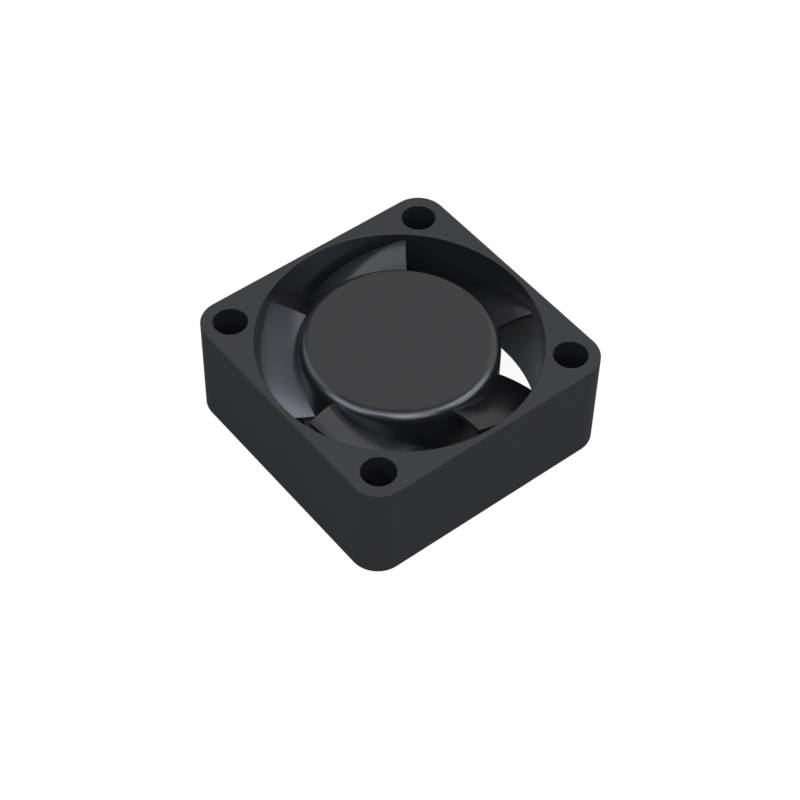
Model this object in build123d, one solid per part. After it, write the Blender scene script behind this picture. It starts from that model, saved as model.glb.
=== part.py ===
from build123d import *
import math
import os

os.makedirs("parts", exist_ok=True)

# A 25 mm square axial fan that lies on its strut side. Millimetres, +Z is the fan's axis, and Z = 0 is
# the lower face of the frame. The air enters at the top, past the hub cap.

# Frame moulding
side = 25.0
depth = 10.0
hole_inset = 2.5
hole_radius = 1.45
corner_radius = 2.5
duct_wall = 0.5
edge_break = 0.1

# Motor base under the hub, with its struts
base_radius = 8.6
base_overhang = 0.15
base_recess = 0.25
floor_thickness = 0.8
rim_width = 0.4
strut_count = 3
strut_first_angle = 30.0
strut_width = 1.4
strut_height = 1.4
wire_strut_index = 1
channel_wall = 0.5
channel_width = 2.0
channel_depth = 0.75
exit_width = 2.4
exit_height = 1.3
wire_hole_start = 5.4
weld = 0.3

# Bearing tube and what it holds
shaft_radius = 0.75
running_clearance = 0.03
bearing_wall = 1.12
tube_wall = 0.38
glue_gap = 0.02
cap_thickness = 0.5
pad_radius = 1.2
pad_thickness = 0.35
pad_sink = 0.15
tip_gap = 0.03
clip_room = 0.75

# Circuit board and its parts
board_gap = 0.3
board_thickness = 0.6
board_edge_gap = 0.3
ledge_width = 0.7
small_part_inset = 0.96
chip_angle = 0.0
chip_length = 2.6
chip_width = 1.6
chip_height = 0.8
chip_stand = 0.15
chip_outer_leads = 3
chip_inner_leads = 2
chip_lead_pitch = 0.87
chip_lead_width = 0.3
chip_lead_reach = 0.45
chip_lead_height = 0.3
capacitor_angle = 90.0
capacitor_length = 1.6
capacitor_width = 0.8
capacitor_height = 0.8
capacitor_end = 0.3
resistor_angle = 180.0
resistor_length = 1.0
resistor_width = 0.5
resistor_height = 0.35
resistor_end = 0.2
diode_angle = 270.0
diode_length = 1.7
diode_width = 0.9
diode_height = 0.7
diode_end = 0.25
metal_end_lip = 0.03
solder_count = 2
solder_pitch = 1.25
solder_radius = 0.5
solder_height = 0.12

# Stator
pole_count = 4
sheet_count = 5
sheet_thickness = 0.4
shoe_thickness = 0.7
shoe_gap = 1.6
tooth_width = 1.3
core_width = 1.0
insulator_thickness = 0.3
insulator_skirt = 0.12
flange_thickness = 0.35
winding_thickness = 0.65
winding_clearance = 0.03
winding_round = 0.52
component_room = 1.15
pin_radius = 0.2
pin_circle = 3.95
pin_clearance = 0.05
pin_count = 3
lug_radius = 0.5

# Rotor
hub_recess = 0.2
hub_rim_radius = 0.9
hub_wall = 0.65
hub_top_wall = 0.7
skirt_gap = 0.3
yoke_wall = 0.5
yoke_inset = 0.15
magnet_thickness = 1.1
magnet_length = 5.0
magnet_inset = 0.15
air_gap = 0.26
tube_headroom = 1.5
rotor_lift = 0.35
washer_thickness = 0.17
bush_wall = 0.75
boss_wall = 0.8
boss_step = 0.25
bush_groove_count = 2
bush_groove_depth = 0.1
bush_groove_width = 0.2
clip_groove_depth = 0.2
clip_thickness = 0.2
clip_width = 0.7
clip_opening = 0.8
shaft_tip_round = 0.25

# Blades: angles are counted from a blade's own zero, anticlockwise seen from above
blade_count = 5
blade_first_angle = -5.0
blade_tip_gap = 0.5
blade_thickness = 0.4
blade_root_sink = 0.35
lead_recess = 0.02
lead_drop = 0.64
lead_lag = 1.5
blade_fall = 4.12
trail_angle_root = 56.1
trail_angle_tip = 46.6
blade_camber = 0.27
blade_steps = 24
span_steps = 24
blade_fit = 0.001

# Blank foil
label_inset = 1.0
label_thickness = 0.1

# Sizes that follow from those above
hole_pitch = side - 2 * hole_inset
duct_radius = side / 2 - duct_wall
tip_radius = duct_radius - blade_tip_gap
hole_web = hole_pitch / math.sqrt(2) - hole_radius - duct_radius
edge_round = min(edge_break, hole_web / 3, duct_wall / 3)

floor_top = base_recess + floor_thickness
board_bottom = floor_top + board_gap
board_top = board_bottom + board_thickness
rim_top = board_top
wire_strut_width = channel_width + 2 * channel_wall
skirt_bottom = rim_top + skirt_gap
board_radius = base_radius - rim_width - board_edge_gap
label_radius = base_radius - label_inset

bearing_bore = shaft_radius + running_clearance
bearing_radius = bearing_bore + bearing_wall
tube_bore = bearing_radius + glue_gap
tube_radius = tube_bore + tube_wall
cap_top = base_recess + glue_gap + cap_thickness
pad_bottom = cap_top - pad_sink
pad_top = pad_bottom + pad_thickness
shaft_bottom = pad_top + tip_gap

hub_radius = base_radius - base_overhang
hub_top = depth - hub_recess
hub_inner_radius = hub_radius - hub_wall
lead_height = hub_top - lead_recess
trail_height = lead_height - blade_fall
hub_inner_top = hub_top - hub_top_wall
yoke_radius = hub_inner_radius - glue_gap
yoke_inner_radius = yoke_radius - yoke_wall
yoke_top = hub_inner_top - glue_gap
yoke_plate_bottom = yoke_top - yoke_wall
yoke_bottom = skirt_bottom + yoke_inset
magnet_radius = yoke_inner_radius - glue_gap
magnet_inner_radius = magnet_radius - magnet_thickness
stator_radius = magnet_inner_radius - air_gap
small_part_radius = magnet_inner_radius - small_part_inset
magnet_bottom = yoke_bottom + magnet_inset

tube_top = yoke_plate_bottom - tube_headroom
bearing_bottom = shaft_bottom + clip_room
bearing_top = tube_top - glue_gap
bush_bottom = bearing_top + rotor_lift
boss_bottom = bush_bottom + boss_step
bush_bore = shaft_radius + glue_gap
bush_radius = bush_bore + bush_wall
boss_bore = bush_radius + glue_gap
boss_radius = boss_bore + boss_wall

coil_bottom = board_top + component_room
stack_bottom = coil_bottom + winding_thickness + insulator_thickness
stack_top = stack_bottom + sheet_count * sheet_thickness
stack_middle = (stack_bottom + stack_top) / 2
coil_top = stack_top + insulator_thickness + winding_thickness
core_bore = tube_radius + glue_gap
core_radius = core_bore + core_width
shoe_radius = stator_radius - shoe_thickness
coil_start = core_radius + winding_clearance
coil_inner_width = tooth_width + 2 * (insulator_skirt + glue_gap + winding_clearance)
coil_width = coil_inner_width + 2 * winding_thickness
coil_end = math.sqrt(shoe_radius**2 - (coil_width / 2) ** 2) - winding_clearance


def disc(radius, bottom, top):
    """Solid round plate on the fan's axis between two heights."""
    return Pos(0, 0, bottom) * Cylinder(radius, top - bottom, align=(Align.CENTER, Align.CENTER, Align.MIN))


def ring(outer, inner, bottom, top):
    """Round plate with a round hole, on the fan's axis."""
    return disc(outer, bottom, top) - disc(inner, bottom, top)


def block(low, high):
    """Box between two opposite corners."""
    size = [b - a for a, b in zip(low, high)]
    return Pos(*low) * Box(*size, align=(Align.MIN, Align.MIN, Align.MIN))


def at_angle(shape, angle):
    """Turn a shape about the fan's axis."""
    return Rot(0, 0, angle) * shape


def save(shape, name):
    """Write one sub-part as its own STEP file."""
    shape.label = name
    export_step(shape, f"parts/{name}.step")


def strut_angle(index):
    """Direction of a strut from the axis, in degrees."""
    return strut_first_angle + index * 360 / strut_count


def frame_housing():
    """Square shell, duct, screw holes, motor base, struts, bearing tube and wire exit, all one moulding."""
    shell = extrude(RectangleRounded(side, side, corner_radius), depth)
    shell -= disc(duct_radius, 0, depth)
    for x in (-1, 1):
        for y in (-1, 1):
            shell -= Pos(x * hole_pitch / 2, y * hole_pitch / 2, 0) * disc(hole_radius, 0, depth)
    for end in (0, -1):
        shell = fillet(shell.edges().group_by(Axis.Z)[end], edge_round)

    body = disc(base_radius, base_recess, floor_top)
    body += ring(base_radius, base_radius - rim_width, base_recess, rim_top)
    body += disc(tube_radius, base_recess, tube_top)
    body += disc(tube_radius + ledge_width, base_recess, board_bottom)
    for index in range(strut_count):
        width = wire_strut_width if index == wire_strut_index else strut_width
        low = (base_radius - weld, -width / 2, base_recess)
        high = (duct_radius + weld, width / 2, base_recess + strut_height)
        body += at_angle(block(low, high), strut_angle(index))
    body -= disc(tube_bore, base_recess, tube_top)

    # Channel under the wire strut, open to the board inside the rim, and its way out through the side wall
    turn = strut_angle(wire_strut_index)
    half = channel_width / 2
    channel = block((wire_hole_start, -half, 0), (duct_radius + weld, half, base_recess + channel_depth))
    hole_end = base_radius - rim_width
    channel += block((wire_hole_start, -half, 0), (hole_end, half, board_bottom))
    body -= at_angle(channel, turn)
    exit_y = duct_radius * math.sin(math.radians(turn))
    exit_x = duct_radius * math.cos(math.radians(turn)) + weld
    low = (-side / 2 - weld, exit_y - exit_width / 2, -weld)
    shell -= block(low, (exit_x, exit_y + exit_width / 2, exit_height))
    shell += body
    mouth = block((duct_radius - weld, -half, -weld), (duct_radius + weld, half, exit_height))
    return shell - at_angle(mouth, turn)


def blade_point(radius, share):
    """Point of a blade's upper face, share 0 at its leading edge and 1 at its trailing edge."""
    span = (radius - hub_radius) / (tip_radius - hub_radius)
    toward_root = max(0.0, 1 - span) ** 2
    lead_angle = -lead_lag * toward_root
    trail_angle = trail_angle_root + (trail_angle_tip - trail_angle_root) * span
    lead_z = lead_height - lead_drop * toward_root
    fall = share - blade_camber * share * (1 - share)
    angle = math.radians(lead_angle + (trail_angle - lead_angle) * share)
    height = lead_z + (trail_height - lead_z) * fall
    return (radius * math.cos(angle), radius * math.sin(angle), height)


def blade_face(sign):
    """Upper face of a blade, sign 1, or its lower face, sign -1."""
    root = hub_radius - blade_root_sink
    points = []
    for i in range(span_steps + 1):
        radius = root + (tip_radius - root) * i / span_steps
        row = []
        for j in range(blade_steps + 1):
            share = j / blade_steps
            x, y, z = blade_point(radius, share)
            row.append((x, y, z if sign > 0 else z - blade_thickness))
        points.append(row)
    return Face.make_surface_from_array_of_points(points, tol=blade_fit)


def nearest(edge, others):
    """The edge of the other face that lies over or under this one."""
    return min(others, key=lambda other: (other.center() - edge.center()).length)


def blade():
    """Swept and cambered blade, its root sunk in the hub's wall and its tip a running gap from the duct."""
    upper = blade_face(1)
    lower = blade_face(-1)
    sides = [Face.make_surface_from_curves(edge, nearest(edge, lower.edges())) for edge in upper.edges()]
    return Solid(Shell([upper, lower, *sides]))


def impeller():
    """Hub cap with its rounded rim, the boss for the bush, and the blades."""
    hub = disc(hub_radius, skirt_bottom, hub_top)
    hub = fillet(hub.edges().group_by(Axis.Z)[-1], hub_rim_radius)
    hub -= disc(hub_inner_radius, skirt_bottom, hub_inner_top)
    hub += ring(boss_radius, boss_bore, boss_bottom, hub_inner_top + weld)
    for index in range(blade_count):
        hub += at_angle(blade(), blade_first_angle + index * 360 / blade_count)
    return hub


def sleeve_bearing():
    """Bronze bush with broken edges."""
    body = ring(bearing_radius, bearing_bore, bearing_bottom, bearing_top)
    return chamfer(body.edges().filter_by(GeomType.CIRCLE), edge_break)


def bearing_cap():
    """Plug in the lower end of the tube, with a seat for the thrust pad."""
    cap = disc(bearing_radius, base_recess + glue_gap, cap_top)
    return cap - disc(pad_radius + glue_gap, pad_bottom, cap_top)


def thrust_pad():
    """Disc that carries the shaft's tip."""
    return disc(pad_radius, pad_bottom, pad_top)


def rear_label():
    """Blank round foil under the motor base."""
    return disc(label_radius, base_recess - label_thickness, base_recess)


def pin_angle(index):
    """Pins stand in the gaps between the poles."""
    return (index + 0.5) * 360 / pole_count


def circuit_board():
    """Ring-shaped board with holes for the pins."""
    board = ring(board_radius, tube_radius + pin_clearance, board_bottom, board_top)
    for index in range(pin_count):
        hole = Pos(pin_circle, 0, 0) * disc(pin_radius + pin_clearance, board_bottom, board_top)
        board -= at_angle(hole, pin_angle(index))
    return board


def on_board(shape, angle):
    """Set a part that was made about the origin on the board, at the circle of the small parts."""
    return at_angle(Pos(small_part_radius, 0, board_top) * shape, angle)


def driver_chip():
    """Flat chip with legs on its outer and inner sides."""
    body = block(
        (-chip_width / 2, -chip_length / 2, chip_stand),
        (chip_width / 2, chip_length / 2, chip_height),
    )
    body = chamfer(body.edges().group_by(Axis.Z)[-1], edge_break)
    for side_sign, leads in ((1, chip_outer_leads), (-1, chip_inner_leads)):
        for index in range(leads):
            y = (index - (leads - 1) / 2) * chip_lead_pitch
            start = side_sign * (chip_width / 2 - weld)
            end = side_sign * (chip_width / 2 + chip_lead_reach)
            low = (min(start, end), y - chip_lead_width / 2, 0)
            body += block(low, (max(start, end), y + chip_lead_width / 2, chip_lead_height))
    return body


def small_part(length, width, height, end_length):
    """Chip capacitor, resistor or diode: a block with two slightly larger metal ends."""
    half = width / 2
    body = block((-half, -length / 2, metal_end_lip), (half, length / 2, height - metal_end_lip))
    for start in (-length / 2, length / 2 - end_length):
        low = (-half - metal_end_lip, start, 0)
        body += block(low, (half + metal_end_lip, start + end_length, height))
    return body


def solder_pad(index):
    """Flat solder dome under the board, over the wire hole."""
    x = wire_hole_start + solder_radius
    y = (index - (solder_count - 1) / 2) * solder_pitch
    dome = Pos(x, y, 0) * disc(solder_radius, board_bottom - solder_height, board_bottom)
    return at_angle(dome, strut_angle(wire_strut_index))


def shoe_arcs(outer, inner, gap):
    """Ring sketch cut into one arc for each pole."""
    arcs = Circle(outer) - Circle(inner)
    for index in range(pole_count):
        slot = Pos(outer, 0) * Rectangle(2 * outer, gap)
        arcs -= Rot(0, 0, pin_angle(index)) * slot
    return arcs


def pole_outline(arc_outer, arc_inner, arc_gap, tooth):
    """Stator outline: a core ring, one tooth for each pole, and an arc at the end of each tooth."""
    outline = Circle(core_radius)
    tooth_tip = (arc_outer + arc_inner) / 2
    for index in range(pole_count):
        bar = Pos(tooth_tip / 2, 0) * Rectangle(tooth_tip, tooth)
        outline += Rot(0, 0, index * 360 / pole_count) * bar
    return outline + shoe_arcs(arc_outer, arc_inner, arc_gap) - Circle(core_bore)


def stator_lamination(index):
    """One steel sheet of the stack."""
    outline = pole_outline(stator_radius, shoe_radius, shoe_gap, tooth_width)
    return Pos(0, 0, stack_bottom + index * sheet_thickness) * extrude(outline, sheet_thickness)


def insulator_half():
    """Bobbin half for the upper side, made upwards from Z = 0, with skirts that line the teeth."""
    lining = tooth_width + 2 * (insulator_skirt + glue_gap)
    flange_radius = shoe_radius + flange_thickness
    flange_gap = shoe_gap + flange_thickness
    half = extrude(pole_outline(flange_radius, shoe_radius, flange_gap, lining), insulator_thickness)
    walls = shoe_arcs(flange_radius, shoe_radius, flange_gap) + Circle(core_radius)
    walls -= Circle(core_radius - flange_thickness)
    half += extrude(walls, insulator_thickness + winding_thickness)
    reach = stack_middle - stack_bottom - glue_gap
    for index in range(pole_count):
        for sign in (-1, 1):
            start = tooth_width / 2 + glue_gap
            y_low, y_high = sorted((sign * start, sign * (start + insulator_skirt)))
            low = (core_radius + glue_gap, y_low, -reach)
            x_high = math.sqrt(shoe_radius**2 - (start + insulator_skirt) ** 2) - glue_gap
            high = (x_high, y_high, insulator_thickness)
            half += at_angle(block(low, high), index * 360 / pole_count)
    return half


def insulator_upper():
    """Bobbin half above the steel."""
    return Pos(0, 0, stack_top) * insulator_half()


def insulator_lower():
    """Bobbin half below the steel, with a lug for each pin."""
    half = Pos(0, 0, stack_bottom) * mirror(insulator_half(), Plane.XY)
    for index in range(pin_count):
        bottom = stack_bottom - insulator_thickness - winding_thickness
        lug = Pos(pin_circle, 0, 0) * disc(lug_radius, bottom, stack_bottom)
        lug += block(
            (core_radius - weld, -lug_radius, stack_bottom - insulator_thickness),
            (pin_circle, lug_radius, stack_bottom),
        )
        lug -= Pos(pin_circle, 0, 0) * disc(pin_radius, bottom, stack_bottom)
        half += at_angle(lug, pin_angle(index))
    return half


def terminal_pin(index):
    """Pin from its lug down through the board."""
    pin = Pos(pin_circle, 0, 0) * disc(pin_radius - glue_gap, board_bottom, stack_bottom - glue_gap)
    return at_angle(pin, pin_angle(index))


def coil(index):
    """Winding round one tooth: a rounded square tube along the tooth."""
    inner_height = stack_top - stack_bottom + 2 * (insulator_thickness + winding_clearance)
    outline = RectangleRounded(coil_width, coil_top - coil_bottom, winding_round)
    outline -= Rectangle(coil_inner_width, inner_height)
    plane = Plane(origin=(coil_start, 0, stack_middle), x_dir=(0, 1, 0), z_dir=(1, 0, 0))
    winding = extrude(plane * outline, coil_end - coil_start)
    return at_angle(winding, index * 360 / pole_count)


def rotor_yoke():
    """Steel cup with a hole for the boss."""
    cup = disc(yoke_radius, yoke_bottom, yoke_top)
    cup -= disc(yoke_inner_radius, yoke_bottom, yoke_plate_bottom)
    cup = cup - disc(boss_radius + glue_gap, yoke_bottom, yoke_top)
    return cup


def magnet_ring():
    """Ring magnet in the yoke."""
    return ring(magnet_radius, magnet_inner_radius, magnet_bottom, magnet_bottom + magnet_length)


def clip_bottom():
    """Height of the clip and of its groove."""
    return bearing_bottom - clip_room / 2


def shaft():
    """Ground pin with a rounded tip and a groove for the clip."""
    pin = disc(shaft_radius, shaft_bottom, hub_inner_top - glue_gap)
    pin = fillet(pin.edges().group_by(Axis.Z)[0], shaft_tip_round)
    low = clip_bottom() - glue_gap
    high = low + clip_thickness + 2 * glue_gap
    return pin - ring(shaft_radius + weld, shaft_radius - clip_groove_depth, low, high)


def retaining_clip():
    """Split washer that snaps in the groove."""
    inner = shaft_radius - clip_groove_depth + glue_gap
    low = clip_bottom()
    clip = ring(inner + clip_width, inner, low, low + clip_thickness)
    half = clip_opening / 2
    return clip - block((0, -half, low), (inner + 2 * clip_width, half, low + clip_thickness))


def thrust_washer():
    """Thin washer under the bush, over the bearing."""
    top = bush_bottom - glue_gap
    return ring(bush_radius, shaft_radius + glue_gap, top - washer_thickness, top)


def shaft_bush():
    """Brass insert with grooves that key it in the boss."""
    top = hub_inner_top - glue_gap
    bush = ring(bush_radius, bush_bore, bush_bottom, top)
    for index in range(bush_groove_count):
        middle = bush_bottom + (index + 1) / (bush_groove_count + 1) * (top - bush_bottom)
        low = middle - bush_groove_width / 2
        bush -= ring(bush_radius + weld, bush_radius - bush_groove_depth, low, low + bush_groove_width)
    return bush


save(frame_housing(), "frame_housing")
save(impeller(), "impeller")
save(sleeve_bearing(), "sleeve_bearing")
save(bearing_cap(), "bearing_cap")
save(thrust_pad(), "thrust_pad")
save(rear_label(), "rear_label")
save(circuit_board(), "circuit_board")
save(on_board(driver_chip(), chip_angle), "driver_chip")
capacitor = small_part(capacitor_length, capacitor_width, capacitor_height, capacitor_end)
save(on_board(capacitor, capacitor_angle), "capacitor")
resistor = small_part(resistor_length, resistor_width, resistor_height, resistor_end)
save(on_board(resistor, resistor_angle), "resistor")
diode = small_part(diode_length, diode_width, diode_height, diode_end)
save(on_board(diode, diode_angle), "diode")
for pad_index in range(solder_count):
    save(solder_pad(pad_index), f"solder_pad_{pad_index + 1}")
for pin_index in range(pin_count):
    save(terminal_pin(pin_index), f"terminal_pin_{pin_index + 1}")
for sheet_index in range(sheet_count):
    save(stator_lamination(sheet_index), f"stator_lamination_{sheet_index + 1}")
save(insulator_upper(), "insulator_upper")
save(insulator_lower(), "insulator_lower")
for coil_index in range(pole_count):
    save(coil(coil_index), f"coil_{coil_index + 1}")
save(rotor_yoke(), "rotor_yoke")
save(magnet_ring(), "magnet_ring")
save(shaft(), "shaft")
save(shaft_bush(), "shaft_bush")
save(retaining_clip(), "retaining_clip")
save(thrust_washer(), "thrust_washer")
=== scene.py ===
import math

import bpy
import numpy as np
from mathutils import Matrix, Vector


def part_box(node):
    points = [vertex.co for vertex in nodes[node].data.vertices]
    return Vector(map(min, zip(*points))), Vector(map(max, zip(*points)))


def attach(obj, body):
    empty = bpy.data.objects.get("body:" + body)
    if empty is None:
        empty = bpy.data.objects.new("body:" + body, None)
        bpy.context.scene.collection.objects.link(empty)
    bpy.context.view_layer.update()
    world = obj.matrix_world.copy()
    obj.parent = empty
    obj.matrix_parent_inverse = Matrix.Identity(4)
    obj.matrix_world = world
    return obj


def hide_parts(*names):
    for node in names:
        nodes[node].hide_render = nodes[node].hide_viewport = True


# A small square cooling fan on a white floor. Everything is in metres in the fan's own frame:
# Z = 0 is the lower face of the housing, and the rotor turns about the Z axis.
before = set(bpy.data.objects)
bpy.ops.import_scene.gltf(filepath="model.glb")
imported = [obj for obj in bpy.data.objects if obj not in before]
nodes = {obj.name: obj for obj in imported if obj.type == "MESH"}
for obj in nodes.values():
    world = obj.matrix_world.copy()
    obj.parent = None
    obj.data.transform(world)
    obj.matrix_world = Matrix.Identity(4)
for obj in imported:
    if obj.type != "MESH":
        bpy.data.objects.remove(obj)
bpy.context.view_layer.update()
housing_low, housing_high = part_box("frame_housing")
middle = (housing_low + housing_high) / 2

# The view: angles in degrees, distance from the housing's middle, and how far beside it the camera aims
view_azimuth = 50.686
view_elevation = 49.181
view_roll = 1.383
view_distance = 0.17874
aim_right = 0.000157
aim_up = -0.001906
camera_lens = 95.417
camera_sensor = 36
camera_near = 0.01

# The lamps' distance from the housing's middle, and the level of the plain world
lamp_distance = 0.4
world_level = 0.08

# The floor: half its side, what it throws back on the fan, then its paint and its glow as gloss sees them,
# and its paint and its glow as the camera sees them
floor_half = 2.0
floor_bounce = (0.08, 0.08, 0.08)
floor_in_gloss = (0.75, 0.75, 0.75)
glow_in_gloss = 0.06
floor_in_view = (0.12, 0.12, 0.12)
glow_in_view = 0.93

# The charcoal plastics: the frame's outside, its bores, glossy and with painted shade, and the impeller
frame_color = (0.0524, 0.0508, 0.0496)
frame_roughness = 0.75
frame_specular = 0.06
# Painted shade: a darker colour for the walls of the duct and the screw holes, where shade falls
bore_shade_color = (0.016, 0.016, 0.0165)
bore_gloss = 1.0
bore_roughness = 0.25
impeller_color = (0.014, 0.014, 0.0143)
impeller_roughness = 0.24
impeller_specular = 1.0

# Where the bores are: the duct's radius and how far off it a point may be, how far the screw holes' axes are
# from the X and Y axes, and a radius that just takes in a hole's wall
duct_radius = 0.012
duct_tolerance = 0.00003
hole_place = 0.01
hole_reach = 0.00148

# The board: the radii past which its two edges are, the lanes that its tracks run in, half a track's width as
# a share of a lane's, and a track's height
board_outer_edge = 0.00788
board_inner_edge = 0.00237
track_lane = 0.0009
track_half_width = 0.28
track_height = 0.00002

# The coils: the wire's pitch, a winding's depth, how square its corners are, and how finely it is drawn
wire_pitch = 0.00013
winding_depth = 0.00065
corner_power = 0.4
steps_per_turn = 40
wire_sides = 6


def add_node(tree, kind, inputs=None, **settings):
    """Adds a node to a tree. Each input, by name or number, is a plain value or another node's output."""
    node = tree.nodes.new(kind)
    for name, value in settings.items():
        setattr(node, name, value)
    for key, value in (inputs or {}).items():
        if isinstance(value, bpy.types.NodeSocket):
            tree.links.new(value, node.inputs[key])
        else:
            node.inputs[key].default_value = value
    return node


def new_material(name, color, roughness, metallic=0.0, specular=0.5):
    """Makes a material with plain values on its surface. Returns it with its tree and its surface node."""
    material = bpy.data.materials.new(name)
    material.use_nodes = True
    tree = material.node_tree
    surface = tree.nodes["Principled BSDF"]
    surface.inputs["Base Color"].default_value = (*color, 1)
    surface.inputs["Roughness"].default_value = roughness
    surface.inputs["Metallic"].default_value = metallic
    surface.inputs["Specular IOR Level"].default_value = specular
    return material, tree, surface


def calc(tree, operation, first, second=0.0, third=0.0):
    """One step of arithmetic on shader values. Returns its output."""
    node = add_node(tree, "ShaderNodeMath", {0: first, 1: second, 2: third}, operation=operation)
    return node.outputs[0]


def blend_colors(tree, mask, first, second):
    """First colour where the mask is 0, second where it is 1."""
    node = add_node(tree, "ShaderNodeMix", {0: mask, 6: first, 7: second}, data_type="RGBA")
    return node.outputs[2]


def new_group(name, inputs, outputs):
    """Starts a node group. inputs gives each value's name and usual amount, outputs each result's kind."""
    group = bpy.data.node_groups.new(name, "ShaderNodeTree")
    for label, value in inputs.items():
        kind = "NodeSocketColor" if isinstance(value, tuple) else "NodeSocketFloat"
        group.interface.new_socket(label, in_out="INPUT", socket_type=kind).default_value = value
    for label, kind in outputs.items():
        group.interface.new_socket(label, in_out="OUTPUT", socket_type="NodeSocket" + kind)
    return group, group.nodes.new("NodeGroupInput").outputs, group.nodes.new("NodeGroupOutput").inputs


def place(tree, group, **values):
    """Puts a node group into a material. Values that aren't given stay at the group's usual amount."""
    return add_node(tree, "ShaderNodeGroup", values, node_tree=group).outputs


def feed(tree, surface, **sources):
    """Drives values of a surface by other nodes' outputs. An underscore in a name stands for a space."""
    for name, source in sources.items():
        tree.links.new(source, surface.inputs[name.replace("_", " ")])


def object_point(tree):
    """Place on the piece, in metres."""
    return tree.nodes.new("ShaderNodeTexCoord").outputs["Object"]


def distance_across(tree, x, y):
    """Length of the step (x, y), such as the distance of a point from the fan's axis."""
    return calc(tree, "SQRT", calc(tree, "MULTIPLY_ADD", x, x, calc(tree, "MULTIPLY", y, y)))


def relief(tree, height):
    """Normal of a surface that is raised by a height in metres."""
    return add_node(tree, "ShaderNodeBump", {"Height": height, "Distance": 1.0}).outputs[0]


def patches_group():
    """Soft patches of a slightly lighter and darker colour: color * (1 + amount * (2 * noise - 1))."""
    group, given, result = new_group("patches", {"Color": (1, 1, 1, 1), "Patch": 0.002, "Amount": 0.1},
                                     {"Color": "Color"})
    scale = calc(group, "DIVIDE", 1.0, given["Patch"])
    point = object_point(group)
    noise = add_node(group, "ShaderNodeTexNoise", {"Vector": point, "Scale": scale, "Detail": 3.0})
    swing = calc(group, "MULTIPLY_ADD", noise.outputs[0], 2.0, -1.0)
    factor = calc(group, "MULTIPLY_ADD", swing, given["Amount"], 1.0)
    color = add_node(group, "ShaderNodeVectorMath", {0: given["Color"], "Scale": factor}, operation="SCALE")
    group.links.new(color.outputs[0], result["Color"])
    return group


def grain_group():
    """Fine moulded or sandy grain: a bump of noise, and a roughness that wanders a little over patches that
    are patch_width grains wide."""
    patch_width = 12.0
    inputs = {"Grain": 0.00008, "Depth": 0.000002, "Roughness": 0.5, "Spread": 0.1}
    group, given, result = new_group("grain", inputs, {"Normal": "Vector", "Roughness": "Float"})
    point = object_point(group)
    scale = calc(group, "DIVIDE", 1.0, given["Grain"])
    fine = add_node(group, "ShaderNodeTexNoise", {"Vector": point, "Scale": scale, "Detail": 2.0})
    height = calc(group, "MULTIPLY", fine.outputs[0], given["Depth"])
    scale = calc(group, "DIVIDE", scale, patch_width)
    wide = add_node(group, "ShaderNodeTexNoise", {"Vector": point, "Scale": scale})
    swing = calc(group, "SUBTRACT", wide.outputs[0], 0.5)
    roughness = calc(group, "MULTIPLY_ADD", swing, given["Spread"], given["Roughness"])
    group.links.new(relief(group, height), result["Normal"])
    group.links.new(roughness, result["Roughness"])
    return group


def glossy_shaded_bores_group():
    """Mask of the bores' walls, glossy and painted darker for the shade in them: 1 where the distance from the
    axis is Duct Radius, give or take Tolerance, and in the four corner holes, whose axes are at plus and minus
    Hole Place in X and Y."""
    inputs = {"Duct Radius": duct_radius, "Tolerance": duct_tolerance, "Hole Place": hole_place,
              "Hole Radius": hole_reach}
    group, given, result = new_group("glossy_shaded_bores", inputs, {"Mask": "Float"})
    x, y = add_node(group, "ShaderNodeSeparateXYZ", {0: object_point(group)}).outputs[:2]
    on_duct = calc(group, "COMPARE", distance_across(group, x, y), given["Duct Radius"], given["Tolerance"])
    hole_x = calc(group, "SUBTRACT", calc(group, "ABSOLUTE", x), given["Hole Place"])
    hole_y = calc(group, "SUBTRACT", calc(group, "ABSOLUTE", y), given["Hole Place"])
    in_hole = calc(group, "LESS_THAN", distance_across(group, hole_x, hole_y), given["Hole Radius"])
    group.links.new(calc(group, "MAXIMUM", on_duct, in_hole), result["Mask"])
    return group


def turned_group():
    """Tool marks of a lathe or a draw die: noise that runs along the height plus the distance from the axis."""
    group, given, result = new_group("turned", {"Pitch": 0.00006, "Depth": 0.000002},
                                     {"Normal": "Vector", "Mark": "Float"})
    x, y, z = add_node(group, "ShaderNodeSeparateXYZ", {0: object_point(group)}).outputs
    along = calc(group, "DIVIDE", calc(group, "ADD", distance_across(group, x, y), z), given["Pitch"])
    noise = add_node(group, "ShaderNodeTexNoise", {"W": along, "Scale": 1.0, "Detail": 2.0},
                     noise_dimensions="1D")
    height = calc(group, "MULTIPLY", noise.outputs[0], given["Depth"])
    group.links.new(relief(group, height), result["Normal"])
    group.links.new(noise.outputs[0], result["Mark"])
    return group


def rolled_group():
    """Lines that a rolling mill leaves on sheet: noise drawn out along X."""
    group, given, result = new_group("rolled", {"Length": 0.002, "Width": 0.00005, "Depth": 0.000001},
                                     {"Normal": "Vector", "Line": "Float"})
    x, y, z = add_node(group, "ShaderNodeSeparateXYZ", {0: object_point(group)}).outputs
    drawn = add_node(group, "ShaderNodeCombineXYZ", {
        0: calc(group, "DIVIDE", x, given["Length"]),
        1: calc(group, "DIVIDE", y, given["Width"]),
        2: calc(group, "DIVIDE", z, given["Width"]),
    })
    noise = add_node(group, "ShaderNodeTexNoise", {"Vector": drawn.outputs[0], "Scale": 1.0, "Detail": 3.0})
    height = calc(group, "MULTIPLY", noise.outputs[0], given["Depth"])
    group.links.new(relief(group, height), result["Normal"])
    group.links.new(noise.outputs[0], result["Line"])
    return group


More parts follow.
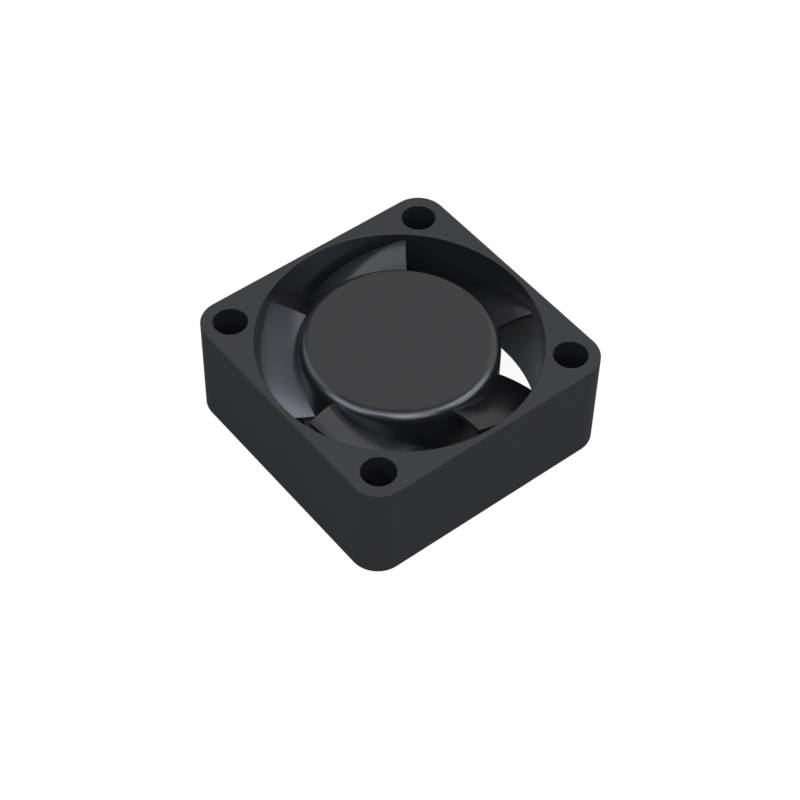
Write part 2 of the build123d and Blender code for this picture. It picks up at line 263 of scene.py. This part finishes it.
def pores_group():
    """Small open pores between pressed grains: a mask that is 1 in the middle of some of a Voronoi's cells,
    out to pore_reach cells from it."""
    pore_reach = 0.35
    group, given, result = new_group("pores", {"Size": 0.00012, "Share": 0.25}, {"Mask": "Float"})
    cells = add_node(group, "ShaderNodeTexVoronoi", {
        "Vector": object_point(group), "Scale": calc(group, "DIVIDE", 1.0, given["Size"])})
    pick = add_node(group, "ShaderNodeSeparateColor", {0: cells.outputs["Color"]}).outputs[0]
    chosen = calc(group, "LESS_THAN", pick, given["Share"])
    near = calc(group, "LESS_THAN", cells.outputs["Distance"], pore_reach)
    group.links.new(calc(group, "MULTIPLY", chosen, near), result["Mask"])
    return group


def ends_group():
    """Metal ends of a small part on the board: 1 where the distance from the part's middle, along the line
    through its two ends, is over Start. Angle is the part's place round the fan in radians, and Circle its
    middle's distance from the axis. Radial is 1 where the ends face the axis and away from it, and 0 where they
    face round the circle."""
    inputs = {"Angle": 0.0, "Circle": 0.0052, "Radial": 0.0, "Start": 0.0005}
    group, given, result = new_group("metal_ends", inputs, {"Mask": "Float"})
    turn_back = calc(group, "MULTIPLY", given["Angle"], -1.0)
    at_zero = add_node(group, "ShaderNodeVectorRotate", {"Vector": object_point(group), "Angle": turn_back},
                       rotation_type="Z_AXIS")
    x, y = add_node(group, "ShaderNodeSeparateXYZ", {0: at_zero.outputs[0]}).outputs[:2]
    outward = calc(group, "ABSOLUTE", calc(group, "SUBTRACT", x, given["Circle"]))
    around = calc(group, "ABSOLUTE", y)
    share = calc(group, "MULTIPLY", calc(group, "SUBTRACT", outward, around), given["Radial"])
    mask = calc(group, "GREATER_THAN", calc(group, "ADD", around, share), given["Start"])
    group.links.new(mask, result["Mask"])
    return group


patches = patches_group()
grain = grain_group()
glossy_shaded_bores = glossy_shaded_bores_group()
turned = turned_group()
rolled = rolled_group()
pores = pores_group()
metal_ends = ends_group()


def grained_plastic(name, color, roughness, specular, grain_size, grain_depth, patch, amount, spread=0.08):
    """Moulded plastic: soft colour patches from the melt's flow, and the fine grain of the mould's wall."""
    material, tree, surface = new_material(name, color, roughness, specular=specular)
    shade = place(tree, patches, Color=(*color, 1), Patch=patch, Amount=amount)
    skin = place(tree, grain, Grain=grain_size, Depth=grain_depth, Roughness=roughness, Spread=spread)
    feed(tree, surface, Base_Color=shade["Color"], Normal=skin["Normal"], Roughness=skin["Roughness"])
    return material


def frame_moulding():
    """The frame's charcoal plastic: matt and grained outside; glossy in its bores, with a darker colour there
    that is painted shade.
    """
    material = grained_plastic("frame_plastic", frame_color, frame_roughness, frame_specular,
                               grain_size=0.00008, grain_depth=0.0000018, patch=0.003, amount=0.04)
    tree = material.node_tree
    surface = tree.nodes["Principled BSDF"]
    bore_gloss_and_shade = place(tree, glossy_shaded_bores)["Mask"]
    outside = surface.inputs["Base Color"].links[0].from_socket
    # Painted shade: the walls of the bores get a darker colour
    painted_bore_shade = place(tree, patches, Color=(*bore_shade_color, 1), Patch=0.003, Amount=0.06)["Color"]
    feed(tree, surface, Base_Color=blend_colors(tree, bore_gloss_and_shade, outside, painted_bore_shade),
         Coat_Weight=calc(tree, "MULTIPLY", bore_gloss_and_shade, bore_gloss))
    surface.inputs["Coat Roughness"].default_value = bore_roughness
    return material


def turned_metal(name, color, roughness, pitch, depth, stain=0.06):
    """Turned, drawn or ground metal with its tool marks round the axis, and a faint uneven tarnish."""
    material, tree, surface = new_material(name, color, roughness, metallic=1.0)
    shade = place(tree, patches, Color=(*color, 1), Patch=0.0009, Amount=stain)
    marks = place(tree, turned, Pitch=pitch, Depth=depth)
    feed(tree, surface, Base_Color=shade["Color"], Normal=marks["Normal"],
         Roughness=calc(tree, "MULTIPLY_ADD", marks["Mark"], 0.1, roughness - 0.05))
    return material


def sheet_metal(name, color, roughness, line_depth, darker):
    """Rolled sheet or foil: lines along X, in the relief and in the colour. Between the lines the colour falls
    to darker times itself."""
    material, tree, surface = new_material(name, color, roughness, metallic=1.0)
    lines = place(tree, rolled, Length=0.003, Width=0.00007, Depth=line_depth)
    dark = tuple(value * darker for value in color)
    shade = blend_colors(tree, lines["Line"], (*dark, 1), (*color, 1))
    shade = place(tree, patches, Color=shade, Patch=0.0025, Amount=0.06)["Color"]
    feed(tree, surface, Base_Color=shade, Normal=lines["Normal"],
         Roughness=calc(tree, "MULTIPLY_ADD", lines["Line"], 0.14, roughness - 0.07))
    return material


def sintered_bronze():
    """Pressed and oil-soaked bronze: warm grains, a slight oily sheen, and pores painted dark as the shade in
    these pits.
    """
    color, pore_shade_color, pore_depth = (0.55, 0.36, 0.18), (0.12, 0.07, 0.035, 1), 0.000012
    material, tree, surface = new_material("sintered_bronze", color, 0.42, metallic=1.0)
    holes = place(tree, pores, Size=0.00011, Share=0.3)["Mask"]
    shade = place(tree, patches, Color=(*color, 1), Patch=0.0006, Amount=0.18)["Color"]
    # Painted shade: the pores take a dark colour
    feed(tree, surface, Base_Color=blend_colors(tree, holes, shade, pore_shade_color),
         Roughness=calc(tree, "MULTIPLY_ADD", holes, 0.3, 0.38),
         Normal=relief(tree, calc(tree, "MULTIPLY", holes, -pore_depth)))
    return material


def bonded_ferrite():
    """Magnet powder bound in resin: near black, with fine lighter specks."""
    color, speck_color = (0.06, 0.055, 0.05), (0.12, 0.112, 0.1, 1)
    material, tree, surface = new_material("bonded_ferrite", color, 0.55, specular=0.4)
    specks = place(tree, pores, Size=0.00007, Share=0.22)["Mask"]
    shade = place(tree, patches, Color=(*color, 1), Patch=0.0012, Amount=0.12)["Color"]
    skin = place(tree, grain, Grain=0.00006, Depth=0.000003, Roughness=0.55, Spread=0.15)
    feed(tree, surface, Base_Color=blend_colors(tree, specks, shade, speck_color), Normal=skin["Normal"],
         Roughness=skin["Roughness"])
    return material


def solder_metal():
    """Tin solder and tinned pins: bright, with soft hollows where it set."""
    color = (0.7, 0.7, 0.69)
    material, tree, surface = new_material("solder", color, 0.28, metallic=1.0)
    shade = place(tree, patches, Color=(*color, 1), Patch=0.00025, Amount=0.12)
    skin = place(tree, grain, Grain=0.00018, Depth=0.000006, Roughness=0.28, Spread=0.25)
    feed(tree, surface, Base_Color=shade["Color"], Normal=skin["Normal"], Roughness=skin["Roughness"])
    return material


def copper_wire():
    """Enamelled winding wire: copper under clear varnish, some turns a little darker from the heat."""
    color = (0.6, 0.26, 0.12)
    material, tree, surface = new_material("copper_wire", color, 0.3, metallic=1.0)
    surface.inputs["Coat Weight"].default_value = 0.6
    surface.inputs["Coat Roughness"].default_value = 0.12
    shade = place(tree, patches, Color=(*color, 1), Patch=0.00035, Amount=0.3)
    skin = place(tree, grain, Grain=0.00005, Depth=0.000001, Roughness=0.3, Spread=0.2)
    feed(tree, surface, Base_Color=shade["Color"], Normal=skin["Normal"], Roughness=skin["Roughness"])
    return material


def board_laminate():
    """Glass-cloth board under green solder resist. Tracks are raised arcs round the bearing tube, broken
    where sin(2 * angle + 2.3 * lane) is under -0.35. The outer and inner edges show the paler laminate."""
    material, tree, surface = new_material("board_laminate", (0.03, 0.16, 0.07), 0.3)
    x, y = add_node(tree, "ShaderNodeSeparateXYZ", {0: object_point(tree)}).outputs[:2]
    radius = distance_across(tree, x, y)
    lane = calc(tree, "DIVIDE", radius, track_lane)
    from_middle = calc(tree, "ABSOLUTE", calc(tree, "SUBTRACT", calc(tree, "FRACT", lane), 0.5))
    lane_shift = calc(tree, "MULTIPLY", calc(tree, "FLOOR", lane), 2.3)
    breaks = calc(tree, "SINE", calc(tree, "MULTIPLY_ADD", calc(tree, "ARCTAN2", y, x), 2.0, lane_shift))
    track = calc(tree, "MULTIPLY", calc(tree, "LESS_THAN", from_middle, track_half_width),
                 calc(tree, "GREATER_THAN", breaks, -0.35))
    edge = calc(tree, "MAXIMUM", calc(tree, "GREATER_THAN", radius, board_outer_edge),
                calc(tree, "LESS_THAN", radius, board_inner_edge))
    weave = add_node(tree, "ShaderNodeTexChecker", {"Vector": object_point(tree), "Scale": 6000.0})
    resist = blend_colors(tree, track, (0.018, 0.12, 0.05, 1), (0.035, 0.2, 0.08, 1))
    cloth = blend_colors(tree, weave.outputs["Fac"], (0.42, 0.4, 0.22, 1), (0.5, 0.47, 0.27, 1))
    shade = blend_colors(tree, edge, resist, cloth)
    shade = place(tree, patches, Color=shade, Patch=0.0008, Amount=0.08)["Color"]
    feed(tree, surface, Base_Color=shade, Roughness=calc(tree, "MULTIPLY_ADD", edge, 0.4, 0.27),
         Normal=relief(tree, calc(tree, "MULTIPLY", track, track_height)))
    return material


def board_part(name, body_color, body_roughness, angle, start, radial=0.0):
    """Small part on the board, at an angle round it in degrees: a plain body with tinned ends or legs, which
    begin at a distance start from its middle. radial is 1 where they face the axis and away from it."""
    material, tree, surface = new_material(name, body_color, body_roughness, specular=0.4)
    ends = place(tree, metal_ends, Angle=math.radians(angle), Start=start, Radial=radial)["Mask"]
    shade = blend_colors(tree, ends, (*body_color, 1), (0.68, 0.68, 0.67, 1))
    shade = place(tree, patches, Color=shade, Patch=0.0003, Amount=0.1)["Color"]
    skin = place(tree, grain, Grain=0.00005, Depth=0.000003, Roughness=body_roughness, Spread=0.1)
    feed(tree, surface, Base_Color=shade, Metallic=ends, Normal=skin["Normal"],
         Roughness=calc(tree, "MULTIPLY_ADD", ends, -0.2, skin["Roughness"]))
    return material


def paint(material, *names):
    """Gives CAD nodes their material."""
    for name in names:
        mesh = nodes[name].data
        mesh.materials.clear()
        mesh.materials.append(material)


frame_plastic = frame_moulding()
impeller_plastic = grained_plastic(
    "impeller_plastic", impeller_color, impeller_roughness, impeller_specular,
    grain_size=0.00006, grain_depth=0.0000006, patch=0.004, amount=0.03, spread=0.05)
cap_plastic = grained_plastic(
    "cap_plastic", (0.05, 0.05, 0.05), roughness=0.5, specular=0.4,
    grain_size=0.00006, grain_depth=0.000002, patch=0.001, amount=0.08)
nylon = grained_plastic(
    "natural_nylon", (0.8, 0.79, 0.74), roughness=0.42, specular=0.5,
    grain_size=0.00007, grain_depth=0.0000015, patch=0.0006, amount=0.04)
bobbin_plastic = grained_plastic(
    "bobbin_plastic", (0.75, 0.74, 0.7), roughness=0.5, specular=0.45,
    grain_size=0.00008, grain_depth=0.000003, patch=0.0012, amount=0.05)
label_foil = sheet_metal(
    "label_foil", (0.62, 0.63, 0.64), roughness=0.36, line_depth=0.0000012, darker=0.9)
electrical_steel = sheet_metal(
    "electrical_steel", (0.42, 0.43, 0.45), roughness=0.34, line_depth=0.000002, darker=0.8)
yoke_steel = turned_metal("yoke_steel", (0.5, 0.5, 0.5), roughness=0.36, pitch=0.00012, depth=0.000002)
ground_steel = turned_metal(
    "ground_steel", (0.7, 0.7, 0.71), roughness=0.16, pitch=0.00003, depth=0.0000006, stain=0.02)
brass = turned_metal("brass", (0.7, 0.52, 0.22), roughness=0.27, pitch=0.00008, depth=0.0000025)
chip_epoxy = board_part("chip_epoxy", (0.03, 0.03, 0.03), 0.5, angle=0, start=0.00081, radial=1.0)
ceramic = board_part("ceramic", (0.45, 0.34, 0.22), 0.45, angle=90, start=0.0005)
resistor_film = board_part("resistor_film", (0.04, 0.04, 0.05), 0.32, angle=180, start=0.0003)
diode_epoxy = board_part("diode_epoxy", (0.03, 0.03, 0.03), 0.5, angle=270, start=0.0006)

paint(frame_plastic, "frame_housing")
paint(impeller_plastic, "impeller")
paint(cap_plastic, "bearing_cap")
paint(nylon, "thrust_pad", "retaining_clip", "thrust_washer")
paint(bobbin_plastic, "insulator_upper", "insulator_lower")
paint(sintered_bronze(), "sleeve_bearing")
paint(label_foil, "rear_label")
paint(board_laminate(), "circuit_board")
paint(solder_metal(), "solder_pad_1", "solder_pad_2", "terminal_pin_1", "terminal_pin_2", "terminal_pin_3")
paint(electrical_steel, *[name for name in nodes if name.startswith("stator_lamination")])
paint(yoke_steel, "rotor_yoke")
paint(ground_steel, "shaft")
paint(brass, "shaft_bush")
paint(bonded_ferrite(), "magnet_ring")
paint(chip_epoxy, "driver_chip")
paint(ceramic, "capacitor")
paint(resistor_film, "resistor")
paint(diode_epoxy, "diode")


def new_object(name, data):
    """Makes an object of a mesh, a camera or a lamp, and puts it in the scene."""
    made = bpy.data.objects.new(name, data)
    bpy.context.scene.collection.objects.link(made)
    return made


def tube_piece(name, points, material, body, node):
    """Closed tube from rings of points, which stands for a CAD node."""
    rings, sides = points.shape[:2]
    index = np.arange(rings * sides).reshape(rings, sides)
    after = np.roll(index, -1, axis=1)
    faces = np.stack([index[:-1], after[:-1], after[1:], index[1:]], -1).reshape(-1, 4).tolist()
    faces += [index[0, ::-1].tolist(), index[-1].tolist()]
    mesh = bpy.data.meshes.new(name)
    mesh.from_pydata(points.reshape(-1, 3).tolist(), [], faces)
    mesh.shade_smooth()
    mesh.materials.append(material)
    piece = new_object(name, mesh)
    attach(piece, body)
    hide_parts(node)


def wound_coil(name, node, quarter, material):
    """Wire wound round one tooth, layer on layer. The path goes round a rounded rectangle,
    (half width * |cos|**corner_power, half height * |sin|**corner_power) with the signs of cos and sin, while
    it moves out along the tooth and back, one layer further from the tooth each time. The wire is a circle
    carried along the path. It is worked out for the tooth along X, then turned by so many quarter turns."""
    low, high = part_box("coil_1")
    wire = wire_pitch / 2
    layers = int(round(winding_depth / wire_pitch))
    turns = int((high.x - low.x) / wire_pitch)
    step = np.linspace(0, layers * turns, layers * turns * steps_per_turn + 1)[:-1]
    layer = np.floor(step / turns)
    within = step / turns - layer
    along = np.where(layer % 2 == 0, within, 1 - within)
    climb = np.clip((within - 1) * turns * 2 + 1, 0, 1) * (layer < layers - 1)
    out = (layer + climb * climb * (3 - 2 * climb) - layers + 0.5) * wire_pitch
    angle = 2 * np.pi * step
    across = (high.y + out) * np.sign(np.cos(angle)) * np.abs(np.cos(angle)) ** corner_power
    upward = ((high.z - low.z) / 2 + out) * np.sign(np.sin(angle)) * np.abs(np.sin(angle)) ** corner_power
    x = low.x + wire + (high.x - low.x - wire_pitch) * along
    slope_y, slope_z = np.gradient(across), np.gradient(upward)
    length = np.hypot(slope_y, slope_z)
    ring = np.linspace(0, 2 * np.pi, wire_sides, endpoint=False)
    outward, sideways = wire * np.cos(ring), wire * np.sin(ring)
    grid_x = x[:, None] + sideways[None]
    grid_y = across[:, None] + (slope_z / length)[:, None] * outward[None]
    grid_z = (low.z + high.z) / 2 + upward[:, None] - (slope_y / length)[:, None] * outward[None]
    turn_x, turn_y = (1, 0, -1, 0)[quarter], (0, 1, 0, -1)[quarter]
    points = np.stack([grid_x * turn_x - grid_y * turn_y, grid_x * turn_y + grid_y * turn_x, grid_z], -1)
    tube_piece(name, points, material, "frame", node)


wire_metal = copper_wire()
for quarter in range(4):
    wound_coil(f"winding_{quarter + 1}", f"coil_{quarter + 1}", quarter, wire_metal)


def glowing_paint(tree, color, strength):
    """Matt paint that also gives off white light of its own."""
    paint_coat = add_node(tree, "ShaderNodeBsdfDiffuse", {"Color": (*color, 1)})
    glow = add_node(tree, "ShaderNodeEmission", {"Color": (1, 1, 1, 1), "Strength": strength})
    return add_node(tree, "ShaderNodeAddShader", {0: paint_coat.outputs[0], 1: glow.outputs[0]}).outputs[0]


def floor_material():
    """White floor that keeps the fan's shadow. Gloss shows it as a pale floor, darker under the fan."""
    material, tree, surface = new_material("floor", floor_bounce, 1.0, specular=0.0)
    rays = tree.nodes.new("ShaderNodeLightPath")
    mirrored = calc(tree, "MAXIMUM", rays.outputs["Is Glossy Ray"], rays.outputs["Is Transmission Ray"])
    pale = glowing_paint(tree, floor_in_gloss, glow_in_gloss)
    white = glowing_paint(tree, floor_in_view, glow_in_view)
    unseen = add_node(tree, "ShaderNodeMixShader", {0: mirrored, 1: surface.outputs[0], 2: pale}).outputs[0]
    seen = rays.outputs["Is Camera Ray"]
    mix = add_node(tree, "ShaderNodeMixShader", {0: seen, 1: unseen, 2: white})
    tree.links.new(mix.outputs[0], tree.nodes["Material Output"].inputs["Surface"])
    return material


def make_floor():
    """Large square floor under the fan."""
    corners = [(x * floor_half, y * floor_half, 0) for x, y in ((-1, -1), (1, -1), (1, 1), (-1, 1))]
    mesh = bpy.data.meshes.new("floor")
    mesh.from_pydata(corners, [], [(0, 1, 2, 3)])
    mesh.materials.append(floor_material())
    floor = new_object("floor", mesh)


make_floor()


def outward_from_fan(azimuth, elevation):
    """Unit vector away from the fan, for angles in degrees. Azimuth 0 is -Y, and 90 is +X."""
    a, e = math.radians(azimuth), math.radians(elevation)
    return Vector((math.sin(a) * math.cos(e), -math.cos(a) * math.cos(e), math.sin(e)))


def make_camera():
    """Camera on a sphere about the middle of the fan, aimed a little beside it, then rolled."""
    azimuth = math.radians(view_azimuth)
    right = Vector((math.cos(azimuth), math.sin(azimuth), 0))
    back = outward_from_fan(view_azimuth, view_elevation)
    up = back.cross(right)
    spot = middle + back * view_distance
    target = middle + right * aim_right + up * aim_up
    data = bpy.data.cameras.new("camera")
    data.lens = camera_lens
    data.sensor_width = camera_sensor
    data.clip_start = camera_near
    camera = new_object("camera", data)
    turn = (target - spot).to_track_quat("-Z", "Y").to_matrix().to_4x4()
    camera.matrix_world = Matrix.Translation(spot) @ turn @ Matrix.Rotation(math.radians(view_roll), 4, "Z")
    bpy.context.scene.camera = camera


make_camera()


def soft_lamp(name, azimuth, elevation, width, strength, color=(1, 1, 1)):
    """Square lamp on a sphere about the fan, facing it. strength is the level that it gives a white surface
    that faces it from the fan's middle."""
    back = outward_from_fan(azimuth, elevation)
    data = bpy.data.lights.new(name, "AREA")
    data.shape = "SQUARE"
    data.size = width
    data.energy = strength * math.pi * lamp_distance**2 * math.pi
    data.color = color
    lamp = new_object(name, data)
    turn = back.to_track_quat("Z", "Y").to_matrix().to_4x4()
    lamp.matrix_world = Matrix.Translation(middle + back * lamp_distance) @ turn


# The lamps: name, azimuth, elevation, width, strength and colour
soft_lamp("front_left", 356, 43, 0.28, 0.38, (0.85, 0.90, 1.0))
soft_lamp("front_high", 50, 58, 0.20, 0.20, (0.74, 0.81, 1.0))
soft_lamp("right_high", 120, 60, 0.22, 0.11, (0.85, 0.90, 1.0))
soft_lamp("front", 68, 42, 0.24, 0.24, (0.85, 0.90, 1.0))
soft_lamp("front_right", 136, 40, 0.30, 0.38, (0.87, 0.92, 1.0))
soft_lamp("left", 290, 45, 0.24, 0.11, (0.92, 0.95, 1.0))
soft_lamp("above", 35, 78, 0.22, 0.068, (0.78, 0.84, 1.0))
soft_lamp("back", 228, 50, 0.26, 0.053)
soft_lamp("back_low", 222, 14, 0.26, 0.038)
soft_lamp("right_low", 183, 34, 0.28, 0.09)

world = bpy.data.worlds.new("world")
bpy.context.scene.world = world
world.use_nodes = True
background = world.node_tree.nodes["Background"]
background.inputs["Color"].default_value = (1, 1, 1, 1)
background.inputs["Strength"].default_value = world_level

bpy.context.scene.view_settings.view_transform = "Standard"
